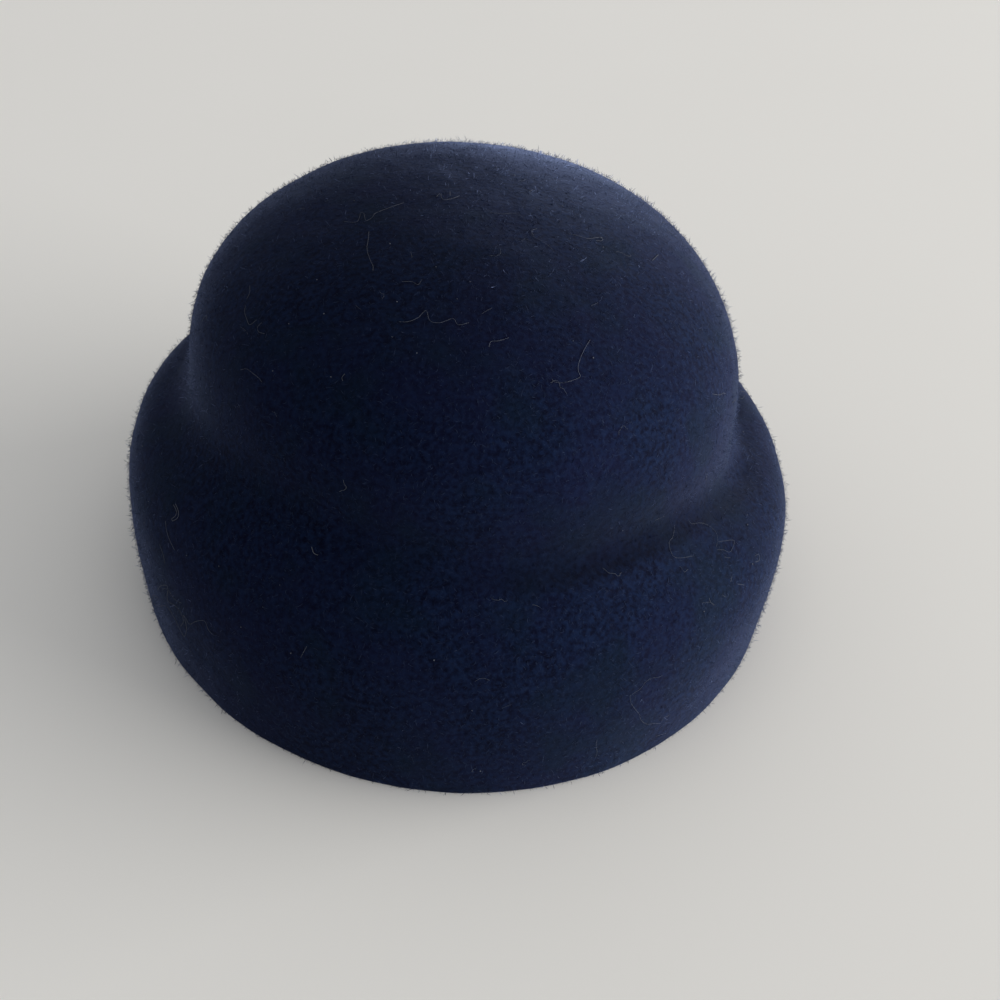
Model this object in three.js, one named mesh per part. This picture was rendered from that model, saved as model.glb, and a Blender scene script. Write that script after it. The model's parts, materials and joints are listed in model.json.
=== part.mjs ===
// A sailor hat blocked from one piece of wool felt. The round crown flares softly at its foot, rolls over a
// rounded shoulder and falls as a deep, slightly bulging brim to the edge that it rests on.
// Millimetres, +Z up, front towards -Y. The cut edge of the brim lies on the floor at z = 0.
import * as THREE from "three";
import { mergeVertices } from "three/addons/utils/BufferGeometryUtils.js";

// Felt
const FELT = 2.6;
const FELT_COLOUR = 0x121a2f;
const FELT_ROUGHNESS = 0.95;

// Crown, measured on its outside
const CROWN_HALF_WIDTH = 88.5;
const CROWN_HALF_LENGTH = 100;
const CROWN_HEIGHT = 137.5;
const DOME_FLATNESS = 2.45;
const DOME_FULLNESS = 2.35;

// Flare from the crown's wall to the bend, where the felt turns from hollow to round. The pulls shape its
// curve as shares of its height.
const WALL_PULL = 0.5;
const BEND_PULL = 0.35;

// The felt's middle at eight sides of the hat, where a short upright wall joins the foot of the dome to the
// flare. The foot and the bend are heights above the floor, and the flare is its height above the bend. Out
// and edge are how far the bend and the cut edge stand beyond the crown's wall. At the bend the felt falls
// at a slope in degrees, and the shoulder reaches on along it. The belly sits at a share of the shoulder's
// height and bulges beyond the edge.
const BELLY_SHARE = 0.5;
const BELLY_BULGE = 2.7;
const BRIM_ROUND = [
  { side: "front", foot: 87, flare: 12, bend: 67, out: 5.6, slope: 44, shoulder: 20, edge: 16.8 },
  { side: "front right", foot: 80.5, flare: 13, bend: 58, out: 7.4, slope: 22, shoulder: 21.5, edge: 17.3 },
  { side: "right", foot: 74.5, flare: 15, bend: 52.5, out: 9.6, slope: 9, shoulder: 21.5, edge: 19.4 },
  { side: "back right", foot: 78.3, flare: 12, bend: 62.3, out: 10.6, slope: 29, shoulder: 30, edge: 19.4 },
  { side: "back", foot: 78.3, flare: 14, bend: 62.3, out: 10, slope: 32, shoulder: 25, edge: 20 },
  { side: "back left", foot: 78.3, flare: 14, bend: 62.3, out: 10.6, slope: 29, shoulder: 30, edge: 19.4 },
  { side: "left", foot: 82.5, flare: 16.5, bend: 63.5, out: 10.6, slope: 29, shoulder: 19.7, edge: 19.4 },
  { side: "front left", foot: 88.5, flare: 16.5, bend: 69, out: 7.4, slope: 49, shoulder: 24.5, edge: 17.3 },
];

// Fineness of the surface
const TURN_STEPS = 72;
const DOME_STEPS = 14;
const WALL_STEPS = 1;
const FLARE_STEPS = 6;
const BRIM_STEPS = 16;

const HALF_FELT = FELT / 2;

// Half of the crown's upright section, from the tip to the foot of the dome, in the middle of the felt.
class DomeCurve extends THREE.Curve {
  constructor(reach, foot) {
    super();
    this.reach = reach;
    this.foot = foot;
  }

  getPoint(share, target = new THREE.Vector2()) {
    const swing = (share * Math.PI) / 2;
    const inward = Math.sin(swing) ** (2 / DOME_FULLNESS);
    const upward = Math.max(Math.cos(swing), 0) ** (2 / DOME_FLATNESS);
    const rise = CROWN_HEIGHT - HALF_FELT - this.foot;
    return target.set(this.reach * inward, this.foot + rise * upward);
  }
}

// A size of the brim at any turn round the hat, from a smooth closed curve through a column of the table.
function columnCurve(column) {
  const knots = BRIM_ROUND.map((row) => new THREE.Vector3(row[column], 0, 0));
  return new THREE.CatmullRomCurve3(knots, true, "catmullrom");
}

const FOOT = columnCurve("foot");
const BEND = columnCurve("bend");
const OUT = columnCurve("out");
const FLARE = columnCurve("flare");
const SLOPE = columnCurve("slope");
const SHOULDER = columnCurve("shoulder");
const EDGE = columnCurve("edge");

function sizeAt(curve, turn) {
  return curve.getPoint(turn / (2 * Math.PI)).x;
}

// Where the crown's wall stands at a turn, counted from the front by way of the right.
function wallAt(turn) {
  const x = (CROWN_HALF_WIDTH - HALF_FELT) * Math.sin(turn);
  const y = -(CROWN_HALF_LENGTH - HALF_FELT) * Math.cos(turn);
  return new THREE.Vector2(x, y);
}

// The stretches of the felt's section at a turn, from the tip of the crown to the edge of the brim.
function sectionAt(turn) {
  const reach = wallAt(turn).length();
  const bendHeight = sizeAt(BEND, turn);
  const flareHeight = sizeAt(FLARE, turn);
  const domeFoot = sizeAt(FOOT, turn);
  const flareStart = bendHeight + flareHeight;
  const edgeReach = reach + sizeAt(EDGE, turn);
  const slope = THREE.MathUtils.degToRad(sizeAt(SLOPE, turn));
  const fall = new THREE.Vector2(Math.cos(slope), -Math.sin(slope));
  const wallTop = new THREE.Vector2(reach, domeFoot);
  const flareTop = new THREE.Vector2(reach, flareStart);
  const wallPull = new THREE.Vector2(reach, flareStart - WALL_PULL * flareHeight);
  const bend = new THREE.Vector2(reach + sizeAt(OUT, turn), bendHeight);
  const bendPull = bend.clone().addScaledVector(fall, -BEND_PULL * flareHeight);
  const shoulder = bend.clone().addScaledVector(fall, sizeAt(SHOULDER, turn));
  const belly = new THREE.Vector2(edgeReach + BELLY_BULGE, BELLY_SHARE * shoulder.y);
  const edge = new THREE.Vector2(edgeReach, 0);
  return [
    [new DomeCurve(reach, domeFoot), DOME_STEPS],
    [new THREE.LineCurve(wallTop, flareTop), WALL_STEPS],
    [new THREE.CubicBezierCurve(flareTop, wallPull, bendPull, bend), FLARE_STEPS],
    [new THREE.CubicBezierCurve(bend, shoulder, belly, edge), BRIM_STEPS],
  ];
}

// Both skins of the felt at a turn as one loop: the under side from tip to edge, then the show side back.
function skinsAt(turn) {
  const show = [];
  const other = [];
  for (const [curve, steps] of sectionAt(turn)) {
    for (let step = show.length ? 1 : 0; step <= steps; step++) {
      const middle = curve.getPoint(step / steps);
      const along = curve.getTangent(step / steps);
      const across = new THREE.Vector2(-along.y, along.x).multiplyScalar(HALF_FELT);
      show.push(middle.clone().add(across));
      other.push(middle.clone().sub(across));
    }
  }
  show[0].x = 0;
  other[0].x = 0;
  show.at(-1).y = 0;
  other.at(-1).y = 0;
  return [...other, ...show.reverse()];
}

// A closed shell: a lathe gives the net of faces, and each point is then set on the section of its turn.
function feltGeometry() {
  const lathe = new THREE.LatheGeometry(skinsAt(0), TURN_STEPS);
  lathe.deleteAttribute("normal");
  lathe.deleteAttribute("uv");
  const place = lathe.getAttribute("position");
  const loopLength = place.count / (TURN_STEPS + 1);
  for (let step = 0; step <= TURN_STEPS; step++) {
    const turn = (2 * Math.PI * (step % TURN_STEPS)) / TURN_STEPS;
    const outward = wallAt(turn).normalize();
    skinsAt(turn).forEach((point, index) => {
      place.setXYZ(step * loopLength + index, outward.x * point.x, outward.y * point.x, point.y);
    });
  }
  const shell = withoutSlivers(mergeVertices(lathe));
  shell.computeBoundingBox();
  const middle = shell.boundingBox.getCenter(new THREE.Vector3());
  shell.translate(-middle.x, -middle.y, -shell.boundingBox.min.z);
  shell.computeVertexNormals();
  return shell;
}

// Drops the triangles that shrink to a line at the tip.
function withoutSlivers(geometry) {
  const corners = geometry.getIndex().array;
  const kept = [];
  for (let start = 0; start < corners.length; start += 3) {
    const [a, b, c] = corners.slice(start, start + 3);
    if (a !== b && b !== c && c !== a) kept.push(a, b, c);
  }
  geometry.setIndex(kept);
  return geometry;
}

const felt = new THREE.MeshStandardMaterial({
  color: FELT_COLOUR,
  roughness: FELT_ROUGHNESS,
  metalness: 0,
});

const hat = new THREE.Group();
const feltBody = new THREE.Mesh(feltGeometry(), felt);
feltBody.name = "felt_body";
hat.add(feltBody);

export default hat;
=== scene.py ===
# %% [markdown]
# # A navy felt hat
#
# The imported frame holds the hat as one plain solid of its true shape. This lesson dresses it: a soft felt
# body, the short nap that makes felt look like felt, the pale lint that clings to dark wool, and the light.
# Every piece is in metres and stands where the frame says.

# %% Load the frame
import json
import math

import bpy
import numpy as np
from mathutils import Matrix, Quaternion, Vector, noise

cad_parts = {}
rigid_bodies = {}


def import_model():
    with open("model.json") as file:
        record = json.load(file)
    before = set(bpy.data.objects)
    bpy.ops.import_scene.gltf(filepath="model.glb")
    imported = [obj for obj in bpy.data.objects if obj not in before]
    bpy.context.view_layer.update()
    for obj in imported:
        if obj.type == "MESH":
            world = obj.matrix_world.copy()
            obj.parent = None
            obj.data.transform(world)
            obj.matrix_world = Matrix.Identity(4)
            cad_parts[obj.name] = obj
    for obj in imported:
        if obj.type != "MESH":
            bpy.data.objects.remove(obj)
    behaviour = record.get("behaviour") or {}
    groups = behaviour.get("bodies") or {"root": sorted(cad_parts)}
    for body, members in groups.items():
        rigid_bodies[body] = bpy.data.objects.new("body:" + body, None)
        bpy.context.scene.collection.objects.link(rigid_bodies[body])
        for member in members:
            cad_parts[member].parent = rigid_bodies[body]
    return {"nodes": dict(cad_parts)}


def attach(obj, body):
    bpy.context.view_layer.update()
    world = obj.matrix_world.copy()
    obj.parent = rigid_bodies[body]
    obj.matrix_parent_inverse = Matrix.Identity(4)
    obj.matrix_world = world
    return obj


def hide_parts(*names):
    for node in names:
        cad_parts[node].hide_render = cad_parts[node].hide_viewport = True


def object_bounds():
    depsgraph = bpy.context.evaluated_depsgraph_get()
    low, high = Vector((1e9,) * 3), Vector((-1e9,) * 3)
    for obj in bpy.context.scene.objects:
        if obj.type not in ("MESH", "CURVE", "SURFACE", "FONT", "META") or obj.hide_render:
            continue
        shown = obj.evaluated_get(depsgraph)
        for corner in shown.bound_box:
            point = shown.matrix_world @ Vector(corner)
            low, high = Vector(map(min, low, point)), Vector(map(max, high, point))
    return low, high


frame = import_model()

MM = 0.001
cad_low, cad_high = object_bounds()
print("CAD box in mm", [round(value / MM, 1) for value in cad_high - cad_low])

# %% [markdown]
# ## The camera
#
# The picture looks down on the front of the hat. A camera can be set by its place and its turn, or by what
# it sees. Here it is set as a photographer would say it: how far round, how high, how far away, and where
# in the picture a point on the hat's axis falls. The camera comes first, because the lint is placed through
# it.

# %% Camera
PICTURE = 1000
FOCAL_PIXELS = 1500
SENSOR_MM = 36
NEAREST = 10 * MM
AIM = Vector((0, 0, 60 * MM))
AIM_PIXEL = (462.9, 405.4)
AZIMUTH = math.radians(-7.2)
ELEVATION = math.radians(32.7)
ROLL = math.radians(2.55)
DISTANCE = 506.3 * MM


def pixel_direction(pixel):
    """The way a pixel looks, in the camera's own axes."""
    across = (pixel[0] - PICTURE / 2) / FOCAL_PIXELS
    down = (pixel[1] - PICTURE / 2) / FOCAL_PIXELS
    return Vector((across, -down, -1))


level_reach = math.cos(ELEVATION)
away = Vector((math.sin(AZIMUTH) * level_reach, -math.cos(AZIMUTH) * level_reach, math.sin(ELEVATION)))
level = (-away).to_track_quat("-Z", "Y").to_matrix()
rolled = level @ Matrix.Rotation(ROLL, 3, "Z")
aimed = rolled @ pixel_direction(AIM_PIXEL).rotation_difference(Vector((0, 0, -1))).to_matrix()
camera_data = bpy.data.cameras.new("camera")
camera_data.sensor_width = SENSOR_MM
camera_data.lens = FOCAL_PIXELS * SENSOR_MM / PICTURE
camera_data.clip_start = NEAREST
camera = bpy.data.objects.new("camera", camera_data)
bpy.context.scene.collection.objects.link(camera)
camera.matrix_world = Matrix.Translation(AIM + away * DISTANCE) @ aimed.to_4x4()
bpy.context.scene.camera = camera
print("camera stands at, in mm", [round(value / MM) for value in camera.matrix_world.translation])

# %% [markdown]
# ## The felt body
#
# A felt hat is one hood of matted wool, steamed and pulled over a wooden block, so it has no seams. It
# could be drawn afresh with a spun section, but the hat is oval and its brim uneven, and the frame already
# has that shape. So a copy of the solid is taken as the blocked hood. Its loose triangles are merged and
# turned into squares, because squares stay smooth when they are refined.

# %% Copy the solid and merge it
MERGE = 0.005 * MM
QUAD_ANGLE = math.radians(60)

blocked = bpy.data.objects.new("felt_hat", frame["nodes"]["felt_body"].data.copy())
bpy.context.scene.collection.objects.link(blocked)
bpy.ops.object.select_all(action="DESELECT")
blocked.select_set(True)
bpy.context.view_layer.objects.active = blocked
bpy.ops.object.mode_set(mode="EDIT")
bpy.ops.mesh.select_mode(type="FACE")
bpy.ops.mesh.select_all(action="SELECT")
bpy.ops.mesh.remove_doubles(threshold=MERGE)
bpy.ops.mesh.tris_convert_to_quads(face_threshold=QUAD_ANGLE, shape_threshold=QUAD_ANGLE)
bpy.ops.mesh.select_all(action="DESELECT")
bpy.ops.object.mode_set(mode="OBJECT")
print("hood has", len(blocked.data.polygons), "faces")

# %% [markdown]
# The brim ends in a cut edge. Shears leave it sharp, and handling soon rubs it round. A Bevel modifier
# would round every sharp edge it finds, but only this ring is meant. So the faces that lie on the floor are
# picked, and the border of that ring is bevelled.

# %% Round the cut edge
EDGE_ROUND = 0.7 * MM
EDGE_STEPS = 2
EDGE_HEIGHT = 0.2 * MM
FACES_DOWN = -0.9

floor_ring = 0
for face in blocked.data.polygons:
    face.select = face.normal.z < FACES_DOWN and face.center.z < EDGE_HEIGHT
    floor_ring += face.select
bpy.ops.object.mode_set(mode="EDIT")
bpy.ops.mesh.region_to_loop()
bpy.ops.mesh.bevel(offset=EDGE_ROUND, segments=EDGE_STEPS, affect="EDGES")
bpy.ops.mesh.select_all(action="DESELECT")
bpy.ops.object.mode_set(mode="OBJECT")
print("cut edge has", floor_ring, "faces, now rounded")

# %% [markdown]
# Wool felt is never quite even: steam and hands leave soft swells a few centimetres across. A Displace
# modifier with a cloud texture gives them, once a Subdivision Surface has made the net fine enough. Both
# are applied, so that the nap and the lint can be set on the finished surface.

# %% Refine the felt and let it swell
REFINE_LEVELS = 2
SWELL_SIZE = 26 * MM
SWELL_DEPTH = 2
SWELL_HEIGHT = 0.9 * MM

swell = bpy.data.textures.new("felt_swell", type="CLOUDS")
swell.noise_scale = SWELL_SIZE
swell.noise_depth = SWELL_DEPTH
refine = blocked.modifiers.new("refine", "SUBSURF")
refine.levels = REFINE_LEVELS
refine.render_levels = REFINE_LEVELS
uneven = blocked.modifiers.new("uneven", "DISPLACE")
uneven.texture = swell
uneven.texture_coords = "LOCAL"
uneven.mid_level = 0.5
uneven.strength = SWELL_HEIGHT
for name in ("refine", "uneven"):
    bpy.ops.object.modifier_apply(modifier=name)
for vertex in blocked.data.vertices:
    vertex.co.z = max(vertex.co.z, 0)
bpy.ops.object.shade_smooth()
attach(blocked, "root")
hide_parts("felt_body")
print("felt body has", sum(len(face.vertices) - 2 for face in blocked.data.polygons), "triangles")

# %% [markdown]
# ## The crease
#
# At the foot of the crown the damp felt was pressed in along a line, so that the brim's shoulder stands up
# a little in front of it. The crease is deepest at the right front and almost gone at the left. A sculpting
# brush would do, but the line has to follow the picture. So the line is a row of places in the picture, and
# a ray from the camera through each place finds the felt behind it.

# %% Find the felt behind a place in the picture


def felt_behind(pixel):
    """The place on the felt that a pixel looks at, and the way the felt faces there."""
    eye = camera.matrix_world.translation
    way = (camera.matrix_world.to_3x3() @ pixel_direction(pixel)).normalized()
    found, spot, normal, _ = blocked.ray_cast(eye, way)
    return (spot, normal) if found else (None, None)


def smooth_row(places, step):
    """Places along a smooth line through the given ones, about a step apart in the picture."""
    row = [places[0], *places, places[-1]]
    line = []
    for corners in zip(row, row[1:], row[2:], row[3:]):
        _, start, end, _ = corners
        pieces = max(1, round(math.dist(start, end) / step))
        for share in (piece / pieces for piece in range(pieces)):
            weights = (
                -0.5 * share + share**2 - 0.5 * share**3,
                1 - 2.5 * share**2 + 1.5 * share**3,
                0.5 * share + 2 * share**2 - 1.5 * share**3,
                -0.5 * share**2 + 0.5 * share**3,
            )
            columns = zip(*corners)
            line.append(tuple(sum(w * c for w, c in zip(weights, column)) for column in columns))
    return [*line, places[-1]]


print("the middle of the picture shows felt at, in mm",
      [round(value / MM) for value in felt_behind((PICTURE / 2, PICTURE / 2))[0]])

# %% [markdown]
# Each row of the table is a place on the shoulder's crest in the picture, across and down. Then come the
# share of the crease's full depth, which also sets how dark its painted shade is, and the share of the full
# rounding there. The rows are joined by a smooth line, and every point of the felt is given to the nearest
# place on it.

# %% Lay the line of the crease on the felt
CREASE = [
    (187, 372, 0.0, 0.3), (192, 408, 0.0, 0.9), (215, 446, 0.0, 1.0), (262, 502, 0.08, 1.0),
    (330, 553, 0.18, 0.9), (400, 580, 0.25, 0.7), (470, 592, 0.40, 0.5), (540, 590, 0.65, 0.4),
    (600, 578, 1.0, 0.35), (660, 553, 1.0, 0.35), (715, 522, 0.85, 0.35), (750, 494, 0.45, 0.3),
    (766, 474, 0.0, 0.2),
]
CREASE_STEP = 4
LINE_SPOT = slice(0, 3)
LINE_FACING = slice(3, 6)
LINE_DEPTH = 6
LINE_ROUNDING = 7


def crease_line():
    """Rows along the crease: the place on the felt, the way the felt faces, and the two shares."""
    rows = []
    for row in smooth_row(CREASE, CREASE_STEP):
        spot, normal = felt_behind(row)
        rows.append((*spot, *normal, *row[2:]))
    return np.array(rows)


def near_line(rows):
    """All points of the felt, with the row nearest to each and the square of their distance."""
    places = np.empty(len(blocked.data.vertices) * 3)
    blocked.data.vertices.foreach_get("co", places)
    places = places.reshape(-1, 3)
    least = np.full(len(places), np.inf)
    nearest = np.zeros(len(places), dtype=int)
    for number, row in enumerate(rows):
        gap = ((places - row[LINE_SPOT]) ** 2).sum(axis=1)
        nearest = np.where(gap < least, number, nearest)
        least = np.minimum(gap, least)
    return places, nearest, least


line = crease_line()
felt_points, nearest, least = near_line(line)
print("line of the crease has", len(line), "places")

# %% [markdown]
# The foot of the crown is first made rounder, most of all at the left, where hardly any fold shows. Steam
# does that on a real hat. A Smooth modifier does it here, held to the foot by a vertex group, because it
# needs no new faces.

# %% Round the foot of the crown
ROUND_REACH = 25 * MM
ROUND_TIMES = 140
ROUND_FACTOR = 0.5
LEAST_WEIGHT = 0.01

weights = line[nearest, LINE_ROUNDING] * np.exp(-least / ROUND_REACH**2)
foot = blocked.vertex_groups.new(name="foot")
held = np.flatnonzero(weights > LEAST_WEIGHT).tolist()
for index in held:
    foot.add([index], float(weights[index]), "REPLACE")
rounder = blocked.modifiers.new("rounder", "SMOOTH")
rounder.vertex_group = "foot"
rounder.factor = ROUND_FACTOR
rounder.iterations = ROUND_TIMES
bpy.ops.object.modifier_apply(modifier="rounder")
bpy.context.view_layer.update()
print("foot of the crown rounded at", len(held), "points")

# %% [markdown]
# Then the crease is pressed: a trough on the crown's side of the line and a low crest on the brim's side,
# each a soft wave across the line. Both skins of the felt move almost alike, so its thickness hardly
# changes. A painted shade along the crease is kept as an attribute. It darkens the felt's colour and its
# fibres, with a sharp edge at the crest and a soft fade up the crown, where the shoulder shades it.

# %% Press the crease and paint its shade
CREASE_REACH = 14 * MM
TROUGH = {"height": -2.2 * MM, "middle": 9 * MM, "width": 7 * MM}
CREST = {"height": 1.4 * MM, "middle": -1 * MM, "width": 6 * MM}
CREASE_SHADE_REACH = 19 * MM
CREASE_SHADE_EDGE = 4 * MM

line = crease_line()
felt_points, nearest, least = near_line(line)
depth = line[nearest, LINE_DEPTH]
upward = line[nearest, LINE_FACING]
reach = felt_points - line[nearest, LINE_SPOT]
above = (reach * upward).sum(axis=1)
along_felt = reach - above[:, None] * upward
inward = np.linalg.norm(along_felt, axis=1) * np.sign(along_felt[:, 2])
shift = np.zeros(len(felt_points))
for fold in (TROUGH, CREST):
    shift += fold["height"] * np.exp(-(((inward - fold["middle"]) / fold["width"]) ** 2))
shift *= depth * np.exp(-((above / CREASE_REACH) ** 2))
felt_points += upward * shift[:, None]
blocked.data.vertices.foreach_set("co", felt_points.ravel())
blocked.data.update()
bpy.context.view_layer.update()
# Painted shade along the crease: how much darker the colour is, sharp at the crest and fading up the crown.
painted_crease_shade = depth * np.clip(inward / CREASE_SHADE_EDGE + 0.5, 0, 1) * np.exp(-least / CREASE_SHADE_REACH**2)
crease_shade_attribute = blocked.data.attributes.new("painted_crease_shade", "FLOAT", "POINT")
crease_shade_attribute.data.foreach_set("value", painted_crease_shade.astype(np.float32))
print("crease runs from", round(shift.min() / MM, 2), "to", round(shift.max() / MM, 2), "mm")

# %% [markdown]
# ## The felt's finish
#
# Navy wool looks almost black face on and paler where it turns away, because the nap catches the light
# there. A picture of felt could be wrapped round the hat, but it would stretch. So the finish is a tree of
# nodes that read the place on the hat. A few small helpers keep that tree short.

# %% Helpers for node materials


def new_material(name):
    """A new material, with its nodes, its links and its shader."""
    material = bpy.data.materials.new(name)
    material.use_nodes = True
    nodes = material.node_tree.nodes
    return material, nodes, material.node_tree.links, nodes["Principled BSDF"]


def put_on(thing, material):
    """Gives an object one material and no other."""
    thing.data.materials.clear()
    thing.data.materials.append(material)


def calculate(nodes, links, operation, *values):
    """One sum on values, each a fixed number or the output of another node."""
    step = nodes.new("ShaderNodeMath")
    step.operation = operation
    for socket, value in zip(step.inputs, values):
        if isinstance(value, (int, float)):
            socket.default_value = value
        else:
            links.new(value, socket)
    return step.outputs[0]


def mix_colour(nodes, links, amount, first, second):
    """Blends two colours, each a fixed colour or the output of another blend."""
    blend = nodes.new("ShaderNodeMix")
    blend.data_type = "RGBA"
    links.new(amount, blend.inputs["Factor"])
    for socket, colour in (("A", first), ("B", second)):
        target = [item for item in blend.inputs if item.name == socket and item.type == "RGBA"][0]
        if isinstance(colour, tuple):
            target.default_value = (*colour, 1)
        else:
            links.new(colour, target)
    return [item for item in blend.outputs if item.type == "RGBA"][0]


# %% [markdown]
# The mottling is matted wool: soft clouds one or two millimetres across, and faint curved strands, which
# are the ridges of a noise whose place is bent by another noise. A plain noise alone would look like a
# print.

# %% Helpers for clouds and strands
BEND_SHARE = 0.45


def noise_at(nodes, links, place, scale, detail):
    """The outputs of a noise that reads a place."""
    cloud = nodes.new("ShaderNodeTexNoise")
    cloud.inputs["Scale"].default_value = scale
    cloud.inputs["Detail"].default_value = detail
    links.new(place, cloud.inputs["Vector"])
    return cloud.outputs


def spread(nodes, links, value, low, high, start=0.0, end=1.0):
    """A value stretched so that it runs from start at low to end at high."""
    share = nodes.new("ShaderNodeMapRange")
    share.inputs["From Min"].default_value = low
    share.inputs["From Max"].default_value = high
    share.inputs["To Min"].default_value = start
    share.inputs["To Max"].default_value = end
    links.new(value, share.inputs["Value"])
    return share.outputs["Result"]


def clouds(nodes, links, place, scale, detail, low, high):
    """Soft clouds of noise, from none at low to full at high."""
    return spread(nodes, links, noise_at(nodes, links, place, scale, detail)["Fac"], low, high)


def strands(nodes, links, place, scale, warp, offset, sharp):
    """Short curved strands: the ridges of a noise whose place is bent by another noise."""
    move = nodes.new("ShaderNodeVectorMath")
    move.operation = "ADD"
    move.inputs[1].default_value = offset
    links.new(place, move.inputs[0])
    bend = noise_at(nodes, links, move.outputs["Vector"], scale * BEND_SHARE, 1.0)
    bent = nodes.new("ShaderNodeVectorMath")
    bent.operation = "MULTIPLY_ADD"
    bent.inputs[1].default_value = (warp, warp, warp)
    links.new(bend["Color"], bent.inputs[0])
    links.new(move.outputs["Vector"], bent.inputs[2])
    ridges = noise_at(nodes, links, bent.outputs["Vector"], scale, 0.0)
    from_middle = calculate(nodes, links, "SUBTRACT", ridges["Fac"], 0.5)
    return spread(nodes, links, calculate(nodes, links, "ABSOLUTE", from_middle), 0.0, sharp, 1.0, 0.0)


# %% [markdown]
# The layers lie over each other as they do in wool: a mottled navy ground, wider patches that lean to
# violet or to teal as dyed wool does, strands, a few paler tufts, and last a painted shade along the
# crease.

# %% Navy felt
NAVY_DEEP = (0.0002, 0.0012, 0.0092)
NAVY_MID = (0.0028, 0.0080, 0.0295)
NAVY_VIOLET = (0.0030, 0.0042, 0.0225)
NAVY_TEAL = (0.0014, 0.0066, 0.0150)
NAVY_TUFT = (0.0110, 0.0180, 0.0440)
# Painted shade: the dark colour that the crease's painted shade mixes into the felt.
NAVY_CREASE_SHADE = (0.0004, 0.0012, 0.0052)
MOTTLE = {"scale": 640, "detail": 2.0, "low": 0.34, "high": 0.68}
VIOLET_PATCHES = {"scale": 34, "detail": 2.0, "low": 0.42, "high": 0.64}
TEAL_PATCHES = {"scale": 47, "detail": 2.0, "low": 0.50, "high": 0.68}
TUFTS = {"scale": 780, "detail": 1.0, "low": 0.66, "high": 0.80}
CURLS = {"scale": 620, "warp": 0.0022, "offset": (0.31, 0.17, 0.43), "sharp": 0.050}
VIOLET_SHARE = 0.40
TEAL_SHARE = 0.45
CURL_SHARE = 0.16
TUFT_SHARE = 0.40
CREASE_SHADE_SHARE = 0.52

navy_felt, nodes, links, shader = new_material("navy_felt")
place = nodes.new("ShaderNodeTexCoord").outputs["Object"]
# Painted shade along the crease, read from the mesh attribute.
crease_shade_node = nodes.new("ShaderNodeAttribute")
crease_shade_node.attribute_name = "painted_crease_shade"
mottle = clouds(nodes, links, place, **MOTTLE)
curls = strands(nodes, links, place, **CURLS)
layers = [
    (clouds(nodes, links, place, **VIOLET_PATCHES), VIOLET_SHARE, NAVY_VIOLET),
    (clouds(nodes, links, place, **TEAL_PATCHES), TEAL_SHARE, NAVY_TEAL),
    (curls, CURL_SHARE, NAVY_TUFT),
    (clouds(nodes, links, place, **TUFTS), TUFT_SHARE, NAVY_TUFT),
    (crease_shade_node.outputs["Fac"], CREASE_SHADE_SHARE, NAVY_CREASE_SHADE),
]
colour = mix_colour(nodes, links, mottle, NAVY_DEEP, NAVY_MID)
for amount, share, over in layers:
    colour = mix_colour(nodes, links, calculate(nodes, links, "MULTIPLY", amount, share), colour, over)
links.new(colour, shader.inputs["Base Color"])
put_on(blocked, navy_felt)
print("navy felt has", len(layers), "layers over its ground")

# %% [markdown]
# Matted wool also has a fine relief. Real relief would need millions of faces, so a bump tilts the shading
# only. Sheen is the light that the nap catches where the felt turns away. It is set on the shader, which
# knows the angle by itself.

# %% Relief and sheen of the felt
CURL_RELIEF = 0.35
BUMP_STRENGTH = 0.15
BUMP_HEIGHT = 0.25 * MM
WOOL_ROUGHNESS = 1.0
WOOL_SPECULAR = 0.08
FELT_SHEEN = 0.24
SHEEN_SPREAD = 0.31
SHEEN_BLUE = (0.42, 0.55, 1.0, 1)


def make_woollen(shader, sheen):
    """Sets the dull surface of wool, and the sheen where it turns away."""
    shader.inputs["Roughness"].default_value = WOOL_ROUGHNESS
    shader.inputs["Specular IOR Level"].default_value = WOOL_SPECULAR
    shader.inputs["Sheen Weight"].default_value = sheen
    shader.inputs["Sheen Roughness"].default_value = SHEEN_SPREAD
    shader.inputs["Sheen Tint"].default_value = SHEEN_BLUE


relief = calculate(nodes, links, "ADD", mottle, calculate(nodes, links, "MULTIPLY", curls, CURL_RELIEF))
bump = nodes.new("ShaderNodeBump")
bump.inputs["Strength"].default_value = BUMP_STRENGTH
bump.inputs["Distance"].default_value = BUMP_HEIGHT
links.new(relief, bump.inputs["Height"])
links.new(bump.outputs["Normal"], shader.inputs["Normal"])
make_woollen(shader, FELT_SHEEN)
print("navy felt has", len(nodes), "nodes")

# %% [markdown]
# ## The nap
#
# Close up, the hat is covered in wool ends up to three millimetres long. Some lie flat and curl, and more
# stand off the surface and blur the outline. A particle system would do for a picture, but the fibres have
# to be real meshes. So roots are scattered evenly by area, each fibre is bent, and all of a kind are joined
# in a few meshes.

# %% Measure the felt
SEED = 41
HEART_SHARE = 0.36
TINY_AREA = 1e-15
chance = np.random.default_rng(SEED)

felt_mesh = blocked.data
felt_mesh.calc_loop_triangles()
points = np.empty(len(felt_mesh.vertices) * 3)
felt_mesh.vertices.foreach_get("co", points)
corners = np.empty(len(felt_mesh.loop_triangles) * 3, dtype=np.int32)
felt_mesh.loop_triangles.foreach_get("vertices", corners)
corners = corners.reshape(-1, 3)
triangles = points.reshape(-1, 3)[corners]
crossed = np.cross(triangles[:, 1] - triangles[:, 0], triangles[:, 2] - triangles[:, 0])
areas = np.linalg.norm(crossed, axis=1) / 2
facing = crossed / np.maximum(2 * areas, TINY_AREA)[:, None]
# Painted crease shade of each triangle, which darkens the fibres rooted there.
crease_shade_per_triangle = painted_crease_shade[corners].mean(axis=1)
heart = np.array([0, 0, HEART_SHARE * (cad_high.z - cad_low.z)])
outside = ((triangles.mean(axis=1) - heart) * facing).sum(axis=1) > 0
print("outer felt has", round(areas[outside].sum() * 1e4), "square centimetres")

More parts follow.
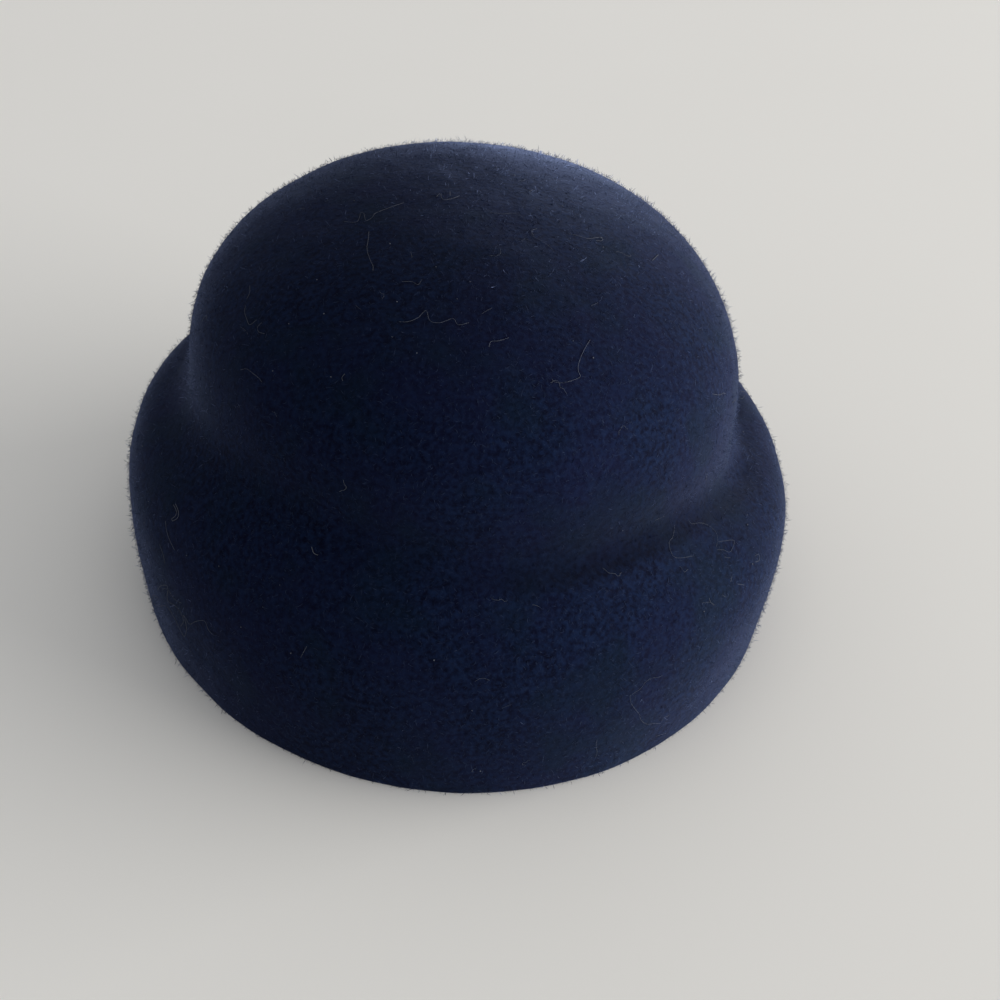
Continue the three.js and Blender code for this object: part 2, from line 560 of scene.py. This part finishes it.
# %% Scatter roots over the felt
UNDERSIDE_SHARE = 0.35


def scatter(count):
    """Evenly spread roots, fewer on the underside, with how the felt faces and how much painted crease
    shade lies there.
    """
    weight = areas * np.where(outside, 1.0, UNDERSIDE_SHARE)
    chosen = chance.choice(len(areas), size=count, p=weight / weight.sum())
    first, second = np.sqrt(chance.random(count)), chance.random(count)
    share = np.stack([1 - first, first * (1 - second), first * second], axis=1)
    return (triangles[chosen] * share[:, :, None]).sum(axis=1), facing[chosen], crease_shade_per_triangle[chosen]


print("roots on the underside are", UNDERSIDE_SHARE, "times as dense as outside")

# %% [markdown]
# A wool end is an arc. It runs over the felt, turns to one side and either lifts off the felt or bows back
# to it. Its middle line is worked out for all fibres of a kind at once, because a loop over fibres would be
# slow.

# %% Grow fibres from the roots
ROOT_DEPTH = 0.05 * MM
LEAST_CURL = 0.05
LEAST_RUN = 0.05


def crosswise(direction):
    """A unit vector at right angles to each direction, turned by chance."""
    loose = chance.normal(size=direction.shape)
    flat = loose - (loose * direction).sum(axis=1, keepdims=True) * direction
    return flat / np.linalg.norm(flat, axis=1, keepdims=True)


def fibre_spines(roots, normals, kind):
    """The middle lines of fibres: arcs that run over the felt and lift off it, or bow back to it."""
    count = len(roots)
    along = crosswise(normals)
    aside = np.cross(normals, along)
    length = chance.uniform(*kind["length"], size=count)[:, None] * MM
    rise = chance.uniform(*kind["rise"], size=count)[:, None]
    curl = chance.uniform(-kind["curl"], kind["curl"], size=count)[:, None]
    curl = np.where(np.abs(curl) < LEAST_CURL, LEAST_CURL, curl)
    run = np.sqrt(np.maximum(1 - rise**2, LEAST_RUN))
    spine = []
    for share in np.linspace(0, 1, kind["rings"] + 2):
        forward = np.sin(curl * share) / curl
        sideways = (1 - np.cos(curl * share)) / curl
        height = np.sin(math.pi * share) / math.pi if kind["bows"] else share
        flat = (along * forward + aside * sideways) * run
        spine.append(roots + (flat + normals * (rise * height)) * length - normals * ROOT_DEPTH)
    return np.stack(spine, axis=1)


# %% [markdown]
# Light falls on a fibre as it falls on the felt that the fibre lies in, because wool ends shade each other.
# So each fibre keeps most of the felt's own facing: its shading normals are mixed from the felt's and its
# own. Fibres of one tuft lean the same way, and a smooth field of small tilts gives the felt that grain.
# Blender's own noise starts from the clock, so it is given the seed too, or each run would differ.

# %% Tilt the fibres' shading by tufts
TUFT_SIZE = 1.0 * MM
TUFT_TILT = 0.65
noise.seed_set(SEED)


def tilted(normals, roots):
    """The felt's facing with the small tilt that fibres of one tuft share."""
    sways = np.array([noise.noise_vector(root) for root in (roots / TUFT_SIZE).tolist()])
    leaning = normals + sways * TUFT_TILT
    return leaning / np.linalg.norm(leaning, axis=1, keepdims=True)


# %% [markdown]
# A fibre becomes a thin spindle with three sides, closed to a point at both ends. Curves with a bevel could
# do it too, but ninety thousand curves are slow. So the points and triangles of all spindles are worked out
# together and put in one mesh.

# %% Turn middle lines into spindles
SIDES = 3
FLOOR_CLEAR = 0.15 * MM
FELT_FACING = 0.75
TINY_LENGTH = 1e-6


def spindle_faces(rings):
    """The triangles of one spindle: a point, rings of three corners, and a point."""
    faces = []
    last = 1 + rings * SIDES
    for step in range(SIDES):
        after = (step + 1) % SIDES
        faces.append((0, 1 + after, 1 + step))
        for ring in range(rings - 1):
            low = 1 + ring * SIDES
            high = low + SIDES
            faces.append((low + step, low + after, high + after))
            faces.append((low + step, high + after, high + step))
        top = 1 + (rings - 1) * SIDES
        faces.append((top + step, top + after, last))
    return np.array(faces)


def spindle_mesh(name, spines, normals, flat, kind):
    """One mesh of closed spindles round the given middle lines."""
    count, stations, _ = spines.shape
    rings = stations - 2
    way = spines[:, -1] - spines[:, 0]
    way = way / np.linalg.norm(way, axis=1, keepdims=True)
    side = crosswise(way)
    other = np.cross(way, side)
    thick = chance.uniform(*kind["radius"], size=count)[:, None] * MM
    stack = [spines[:, 0]]
    turned = [-way]
    for ring in range(1, rings + 1):
        for step in range(SIDES):
            turn = 2 * math.pi * step / SIDES
            outward = side * math.cos(turn) + other * math.sin(turn)
            stack.append(spines[:, ring] + outward * thick)
            turned.append(outward)
    stack.append(spines[:, -1])
    turned.append(way)
    vertices = np.stack(stack, axis=1)
    vertices[:, :, 2] = np.maximum(vertices[:, :, 2], FLOOR_CLEAR)
    own = np.stack(turned, axis=1)
    mixed = own * (1 - FELT_FACING) + tilted(normals, spines[:, 0])[:, None] * FELT_FACING
    mixed = mixed / np.maximum(np.linalg.norm(mixed, axis=2, keepdims=True), TINY_LENGTH)
    per_fibre = vertices.shape[1]
    faces = (np.arange(count)[:, None, None] * per_fibre + spindle_faces(rings)[None]).reshape(-1, 3)
    mesh = bpy.data.meshes.new(name)
    mesh.from_pydata(vertices.reshape(-1, 3).tolist(), [], faces.tolist())
    mesh.shade_smooth()
    mesh.normals_split_custom_set_from_vertices(mixed.reshape(-1, 3).tolist())
    # Each fibre's random shade, darkened in the crease by the painted shade there (flat).
    shade = np.repeat(chance.uniform(*kind["shade"], size=count) * (1 - flat), per_fibre)
    mesh.attributes.new("shade", "FLOAT", "POINT").data.foreach_set("value", shade.astype(np.float32))
    return mesh


# %% [markdown]
# The fibres' colour is the felt's own, from navy to a greyer blue, and each fibre carries a number that
# picks its shade, lowered along the crease by the painted shade there. An attribute on the mesh holds that
# number, so the material needs no picture. Wool ends also differ in gloss, so there are two finishes, one
# with little sheen and one with much.

# %% Fibre finishes
FIBRE_DARK = (0.0007, 0.0024, 0.0135)
FIBRE_PALE = (0.0230, 0.0340, 0.0720)
PALE_RARITY = 1.6
FIBRE_SHEENS = {"wool_fibre_dull": 0.05, "wool_fibre_bright": 0.48}


def fibre_finish(name, sheen):
    """A finish for fibres that takes its colour from each fibre's shade."""
    finish, nodes, links, shader = new_material(name)
    shade = nodes.new("ShaderNodeAttribute")
    shade.attribute_name = "shade"
    paler = calculate(nodes, links, "POWER", shade.outputs["Fac"], PALE_RARITY)
    links.new(mix_colour(nodes, links, paler, FIBRE_DARK, FIBRE_PALE), shader.inputs["Base Color"])
    make_woollen(shader, sheen)
    return finish


fibre_finishes = [fibre_finish(name, sheen) for name, sheen in FIBRE_SHEENS.items()]
print("fibre finishes:", ", ".join(FIBRE_SHEENS))

# %% [markdown]
# Four kinds of fibre make the nap: curled ones that lie in the felt, short upright ones, pale ones that lie
# on top, and some long ones. Lengths and radii are in millimetres. A rise of one stands straight up. The
# meshes of a kind get the two finishes in turn.

# %% Lay the nap
NAP = [
    {"name": "nap_curled", "pieces": 3, "count": 8000, "length": (0.7, 2.2), "rise": (0.05, 0.30),
     "curl": 2.6, "bows": True, "radius": (0.035, 0.070), "rings": 2, "shade": (0.0, 0.9)},
    {"name": "nap_upright", "pieces": 2, "count": 26000, "length": (0.6, 1.9), "rise": (0.50, 0.98),
     "curl": 0.9, "bows": False, "radius": (0.036, 0.060), "rings": 1, "shade": (0.0, 1.0)},
    {"name": "nap_pale", "pieces": 1, "count": 8000, "length": (0.8, 2.6), "rise": (0.05, 0.4),
     "curl": 2.4, "bows": True, "radius": (0.036, 0.062), "rings": 2, "shade": (0.7, 1.0)},
    {"name": "nap_long", "pieces": 1, "count": 8500, "length": (0.9, 3.0), "rise": (0.40, 0.96),
     "curl": 1.5, "bows": False, "radius": (0.045, 0.075), "rings": 2, "shade": (0.0, 0.8)},
]

for kind in NAP:
    for number in range(1, kind["pieces"] + 1):
        name = f"{kind['name']}_{number}"
        # flat is the painted crease shade at each root.
        roots, normals, flat = scatter(kind["count"])
        spines = fibre_spines(roots, normals, kind)
        nap = bpy.data.objects.new(name, spindle_mesh(name, spines, normals, flat, kind))
        bpy.context.scene.collection.objects.link(nap)
        put_on(nap, fibre_finishes[number % len(fibre_finishes)])
        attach(nap, "root")
        print(name, "has", len(nap.data.polygons), "triangles")

# %% [markdown]
# ## Lint
#
# Dark wool shows every pale thread that settles on it. They could be painted on, but a thread that lies on
# the felt also casts its shadow. The threads that the picture shows are laid where it shows them. Each row
# below is one thread: a strength, which scales its thickness, and the places that it passes in the picture.

# %% Threads that the picture shows
THREADS = [
    {"name": "wave on the crown's top", "strength": 0.9, "places": [
        (344, 222), (357, 222), (361, 213), (364, 214), (366, 221), (372, 218), (375, 214), (384, 210),
        (404, 203)]},
    {"name": "straight thread", "strength": 1.0, "places": [
        (369, 232), (368, 242), (367, 249), (370, 260), (373, 266), (373, 271)]},
    {"name": "tick near the top", "strength": 1.1, "places": [
        (436, 198), (440, 194), (443, 200), (452, 199), (460, 196)]},
    {"name": "short tick", "strength": 1.0, "places": [(450, 192), (450, 196)]},
    {"name": "long wave", "strength": 0.9, "places": [
        (399, 322), (408, 322), (418, 318), (426, 311), (430, 321), (440, 323), (453, 319), (458, 325),
        (469, 323)]},
    {"name": "small curl", "strength": 0.8, "places": [(402, 282), (412, 282), (418, 285), (422, 280)]},
    {"name": "faint tick", "strength": 0.6, "places": [(411, 252), (412, 258)]},
    {"name": "faint dash", "strength": 0.6, "places": [(356, 306), (361, 310)]},
    {"name": "bent thread", "strength": 0.9, "places": [
        (537, 229), (532, 231), (534, 237), (543, 242), (552, 249)]},
    {"name": "top arc", "strength": 0.6, "places": [(490, 213), (503, 214), (516, 214), (525, 220)]},
    {"name": "little arc", "strength": 0.6, "places": [(522, 242), (525, 239), (530, 241)]},
    {"name": "looped end", "strength": 0.9, "places": [
        (569, 234), (581, 237), (588, 239), (596, 238), (602, 238), (602, 241), (596, 241)]},
    {"name": "leaning thread", "strength": 0.9, "places": [(489, 347), (491, 342), (499, 341), (509, 338)]},
    {"name": "faint lean", "strength": 0.5, "places": [(482, 314), (492, 308)]},
    {"name": "great hook", "strength": 0.75, "places": [
        (590, 340), (584, 350), (579, 362), (578, 371), (580, 377), (571, 381), (562, 383), (554, 382),
        (552, 379)]},
    {"name": "dash right of the middle", "strength": 0.6, "places": [(591, 306), (598, 303)]},
    {"name": "bright dash", "strength": 1.2, "places": [(652, 261), (658, 255)]},
    {"name": "left strand", "strength": 0.8, "places": [(250, 286), (250, 293), (247, 299)]},
    {"name": "left bow", "strength": 0.8, "places": [
        (246, 306), (245, 312), (247, 319), (250, 325), (257, 320)]},
    {"name": "left crook", "strength": 0.8, "places": [(262, 323), (258, 327), (259, 332), (265, 334)]},
    {"name": "left stub", "strength": 0.6, "places": [(241, 327), (247, 332), (248, 335)]},
    {"name": "left arch", "strength": 0.9, "places": [
        (241, 370), (247, 369), (254, 374), (260, 379), (262, 382)]},
    {"name": "left sickle", "strength": 1.1, "places": [(345, 374), (342, 378), (343, 381)]},
    {"name": "flank dash", "strength": 0.8, "places": [(712, 394), (719, 395), (723, 393), (725, 394)]},
    {"name": "notch wave", "strength": 1.0, "places": [(732, 403), (737, 398), (742, 399), (744, 396)]},
    {"name": "notch arc", "strength": 0.9, "places": [(740, 392), (745, 392), (749, 396), (753, 403)]},
    {"name": "bent loop on the left", "strength": 1.5, "places": [
        (176, 504), (179, 512), (178, 518), (173, 521), (172, 519), (176, 516), (177, 511), (174, 505)]},
    {"name": "left drop", "strength": 1.0, "places": [(166, 521), (167, 530), (170, 540), (175, 550)]},
    {"name": "left drop, lower", "strength": 0.9, "places": [(160, 544), (164, 556), (165, 563)]},
    {"name": "white sickle", "strength": 1.7, "places": [(312, 547), (314, 553), (318, 555)]},
    {"name": "tangle, outer", "strength": 1.25, "places": [
        (159, 598), (154, 595), (153, 602), (159, 606), (167, 606), (174, 616), (181, 630), (185, 636),
        (187, 627),
        (184, 615)]},
    {"name": "tangle, inner", "strength": 1.25, "places": [
        (158, 590), (161, 586), (168, 586), (168, 600), (175, 605), (181, 612), (184, 621), (181, 626)]},
    {"name": "tangle, top", "strength": 1.0, "places": [(163, 589), (168, 589), (175, 599), (182, 603)]},
    {"name": "tangle, tail", "strength": 1.0, "places": [
        (184, 615), (187, 619), (190, 624), (197, 621), (205, 621), (209, 630), (214, 635)]},
    {"name": "low dash", "strength": 0.8, "places": [(301, 657), (307, 646)]},
    {"name": "great arc over the crease", "strength": 0.55, "places": [
        (688, 520), (692, 524), (700, 523), (709, 526), (716, 533), (717, 541), (716, 547)]},
    {"name": "second arc over the crease", "strength": 0.55, "places": [
        (674, 525), (673, 536), (669, 542), (670, 550), (674, 557), (681, 558), (693, 556)]},
    {"name": "angular thread", "strength": 0.55, "places": [
        (717, 550), (723, 550), (730, 552), (734, 541), (725, 541), (718, 542)]},
    {"name": "dash below it", "strength": 0.5, "places": [(724, 557), (730, 558)]},
    {"name": "bright knot", "strength": 0.9, "places": [(755, 556), (758, 554), (759, 560), (755, 562)]},
    {"name": "right dash", "strength": 0.7, "places": [(737, 584), (744, 585)]},
    {"name": "right stub", "strength": 0.6, "places": [(732, 576), (730, 582)]},
    {"name": "right spray", "strength": 0.7, "places": [(709, 598), (710, 602), (714, 605)]},
    {"name": "right spray, arm", "strength": 0.5, "places": [(702, 603), (710, 602)]},
    {"name": "right tick", "strength": 0.7, "places": [(722, 595), (725, 597)]},
    {"name": "faint thread above the crease", "strength": 0.6, "places": [(655, 520), (664, 516)]},
    {"name": "winding thread", "strength": 0.55, "places": [
        (662, 675), (658, 677), (651, 678), (645, 682), (641, 688), (635, 692), (630, 696), (631, 703),
        (635, 709),
        (639, 714), (641, 720), (647, 724), (654, 723), (660, 723), (663, 718), (669, 715)]},
    {"name": "winding thread, arm", "strength": 0.5, "places": [(660, 728), (666, 721)]},
    {"name": "low arc", "strength": 0.6, "places": [(656, 736), (666, 733)]},
    {"name": "upright thread", "strength": 0.6, "places": [(597, 739), (596, 746), (597, 752), (595, 758)]},
    {"name": "small wave below the middle", "strength": 0.6, "places": [
        (475, 681), (482, 678), (490, 680)]},
]

print("the picture shows", len(THREADS), "threads")

# %% [markdown]
# A ray from the camera through each place of a row finds the felt behind it, and a bevelled curve turns the
# row into a thin thread. Where the felt falls away behind a thread, as between crown and shoulder, the
# thread is cut, because it would hang in the air.

# %% Helpers for threads
THREAD_RADIUS = 0.055 * MM


def thread_curve(name, rows):
    """A curve object with one spline for each row of places on the felt."""
    curve = bpy.data.curves.new(name, "CURVE")
    curve.dimensions = "3D"
    curve.bevel_depth = THREAD_RADIUS
    curve.bevel_resolution = 0
    curve.use_fill_caps = True
    for row, strength in rows:
        spline = curve.splines.new("POLY")
        spline.points.add(len(row) - 1)
        for point, spot in zip(spline.points, row):
            point.co = (*spot, 1)
            point.radius = strength
    thing = bpy.data.objects.new(name, curve)
    bpy.context.scene.collection.objects.link(thing)
    return thing


def as_mesh(thing):
    """Turns a curve object into a mesh object."""
    bpy.ops.object.select_all(action="DESELECT")
    thing.select_set(True)
    bpy.context.view_layer.objects.active = thing
    bpy.ops.object.convert(target="MESH")
    bpy.ops.object.shade_smooth()
    return bpy.context.object


# %% Lay the threads
STEP_PIXELS = 1.6
THREAD_CLEAR = 0.10 * MM
THREAD_LEAP = 5 * MM

rows = []
for thread in THREADS:
    pieces = [[]]
    for pixel in smooth_row(thread["places"], STEP_PIXELS):
        spot, normal = felt_behind(pixel)
        if spot is None:
            continue
        place = spot + normal * (THREAD_CLEAR + THREAD_RADIUS * thread["strength"])
        if pieces[-1] and (place - pieces[-1][-1]).length > THREAD_LEAP:
            print(thread["name"], "is cut where the felt behind it falls away")
            pieces.append([])
        pieces[-1].append(place)
    rows += [(piece, thread["strength"]) for piece in pieces if len(piece) > 1]
lint = as_mesh(thread_curve("lint_threads", rows))
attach(lint, "root")
print(len(rows), "threads have", len(lint.data.polygons), "faces")

# %% [markdown]
# Lint is dull and has no dye of its own. White would glare beside navy felt, so a bluish grey was chosen,
# and one plain finish serves all the lint.

# %% Lint finish
LINT_GREY = (0.075, 0.085, 0.110, 1)
LINT_ROUGHNESS = 0.9
LINT_SPECULAR = 0.2

pale_lint, nodes, links, shader = new_material("pale_lint")
shader.inputs["Base Color"].default_value = LINT_GREY
shader.inputs["Roughness"].default_value = LINT_ROUGHNESS
shader.inputs["Specular IOR Level"].default_value = LINT_SPECULAR
put_on(lint, pale_lint)
print("lint finish", pale_lint.name, "is on", lint.name)

# %% [markdown]
# Specks of dust lie all over the hat, also where the picture does not show it. Some are placed by chance
# and some where the picture shows them. Each is a small rounded grain, sunk a little into the nap, and all
# are joined in one piece.

# %% Specks
SPECKS = 60
SPECK_PLACES = [
    (390, 244), (392, 337), (397, 302), (457, 299), (470, 282), (436, 267), (573, 341), (593, 358),
    (273, 371), (317, 280), (324, 314), (331, 377), (289, 324), (291, 653), (271, 555), (219, 566),
    (280, 585), (263, 607), (747, 525), (747, 515), (752, 564), (716, 408), (743, 432), (434, 660),
]
SPECK_RADIUS = (0.10, 0.24)
SPECK_SEAT = 0.6

bpy.ops.object.select_all(action="DESELECT")
roots, normals, _ = scatter(SPECKS)
spots = list(zip(roots, normals))
spots += [felt_behind(pixel) for pixel in SPECK_PLACES]
for root, normal in spots:
    radius = chance.uniform(*SPECK_RADIUS) * MM
    high = Vector(root) + Vector(normal) * radius * SPECK_SEAT
    high.z = max(high.z, radius + FLOOR_CLEAR)
    bpy.ops.mesh.primitive_ico_sphere_add(subdivisions=1, radius=radius, location=high)
bpy.ops.object.select_all(action="DESELECT")
grains = [thing for thing in bpy.context.scene.objects if thing.name.startswith("Icosphere")]
for grain in grains:
    grain.select_set(True)
bpy.context.view_layer.objects.active = grains[0]
bpy.ops.object.join()
specks = bpy.context.object
specks.name = "lint_specks"
bpy.ops.object.transform_apply(location=True, rotation=True, scale=True)
put_on(specks, pale_lint)
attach(specks, "root")
print(len(spots), "specks have", len(specks.data.polygons), "faces")

# %% [markdown]
# Short loose threads lie all round as well. They could be straight, but lint is limp. So each wanders over
# the felt: a step turns a little by chance and is then drawn back to the nearest place on the felt.

# %% Loose threads all round
LOOSE = 70
LOOSE_STEPS = (5, 16)
LOOSE_STEP = 0.5 * MM
LOOSE_TURN = 0.55
LOOSE_STRENGTH = (0.45, 0.85)

rows = []
roots, normals, _ = scatter(LOOSE)
for root, normal in zip(roots, normals):
    spot, facing_there = Vector(root), Vector(normal)
    heading = facing_there.orthogonal().normalized()
    heading.rotate(Quaternion(facing_there, chance.uniform(0, 2 * math.pi)))
    strength = chance.uniform(*LOOSE_STRENGTH)
    row = []
    for step in range(chance.integers(*LOOSE_STEPS)):
        lifted = spot + facing_there * (THREAD_CLEAR + THREAD_RADIUS * strength)
        lifted.z = max(lifted.z, FLOOR_CLEAR + THREAD_RADIUS)
        row.append(lifted)
        heading.rotate(Quaternion(facing_there, chance.normal(0, LOOSE_TURN)))
        _, spot, facing_there, _ = blocked.closest_point_on_mesh(spot + heading * LOOSE_STEP)
    rows.append((row, strength))
loose = as_mesh(thread_curve("lint_loose", rows))
put_on(loose, pale_lint)
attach(loose, "root")
print(len(rows), "loose threads have", len(loose.data.polygons), "faces")

# %% [markdown]
# ## The floor and the light
#
# The hat lies on a pale, almost even floor. A plain grey would look painted, so a slow noise mixes two
# close tones. The floor is part of the stage and not of the hat.

# %% Floor
FLOOR_SIZE = 14
FLOOR_PALE = (0.860, 0.855, 0.835)
FLOOR_GREY = (0.840, 0.835, 0.812)
FLOOR_ROUGHNESS = 0.8
BLOTCHES = {"scale": 5, "detail": 2.0}

bpy.ops.object.select_all(action="DESELECT")
bpy.ops.mesh.primitive_plane_add(size=FLOOR_SIZE)
floor = bpy.context.object
floor.name = "floor"
pale_floor, nodes, links, shader = new_material("pale_floor")
place = nodes.new("ShaderNodeTexCoord").outputs["Object"]
blotches = noise_at(nodes, links, place, **BLOTCHES)["Fac"]
links.new(mix_colour(nodes, links, blotches, FLOOR_PALE, FLOOR_GREY), shader.inputs["Base Color"])
shader.inputs["Roughness"].default_value = FLOOR_ROUGHNESS
put_on(floor, pale_floor)
print("floor is", FLOOR_SIZE, "m wide")

# %% [markdown]
# The light is a window: a long low lamp, far off at the right and a little in front, low enough to leave
# the crown's top dim. A near lamp would fade fast across the floor, so this one stands far away and is
# large.

# %% Window
WINDOW_PLACE = Vector((4.5, -0.75, 0.45))
WINDOW_WIDTH = 5.5
WINDOW_HEIGHT = 0.88
WINDOW_POWER = 525
WINDOW_COLOUR = (1.0, 0.97, 0.92)

window = bpy.data.lights.new("window", "AREA")
window.shape = "RECTANGLE"
window.size = WINDOW_WIDTH
window.size_y = WINDOW_HEIGHT
window.energy = WINDOW_POWER
window.color = WINDOW_COLOUR
window_object = bpy.data.objects.new("window", window)
bpy.context.scene.collection.objects.link(window_object)
window_object.location = WINDOW_PLACE
window_object.rotation_mode = "QUATERNION"
window_object.rotation_quaternion = (AIM - WINDOW_PLACE).to_track_quat("-Z", "Y")
print("window stands", round((WINDOW_PLACE - AIM).length, 2), "m from the hat")

# %% [markdown]
# The room sends light back from all round. A picture of a room could surround the hat, but three colours
# are enough: walls that are dim and bluish on the far side and bright and warm towards the window, and a
# ceiling between the two.

# %% Room
ROOM_DIM = (0.37, 0.39, 0.43)
ROOM_BRIGHT = (0.99, 0.96, 0.92)
CEILING = (0.50, 0.50, 0.50)
WALL_RANGE = (-0.8, 0.6)
CEILING_RANGE = (0.3, 0.9)

room = bpy.data.worlds.new("room")
room.use_nodes = True
nodes, links = room.node_tree.nodes, room.node_tree.links
direction = nodes.new("ShaderNodeTexCoord")
parts = nodes.new("ShaderNodeSeparateXYZ")
links.new(direction.outputs["Generated"], parts.inputs[0])
towards_window = spread(nodes, links, parts.outputs["X"], *WALL_RANGE)
walls = mix_colour(nodes, links, towards_window, ROOM_DIM, ROOM_BRIGHT)
towards_ceiling = spread(nodes, links, parts.outputs["Z"], *CEILING_RANGE)
around = mix_colour(nodes, links, towards_ceiling, walls, CEILING)
links.new(around, nodes["Background"].inputs["Color"])
nodes["Background"].inputs["Strength"].default_value = 1.0
bpy.context.scene.world = room
bpy.context.scene.view_settings.view_transform = "Standard"
print("room has", len(nodes), "nodes")
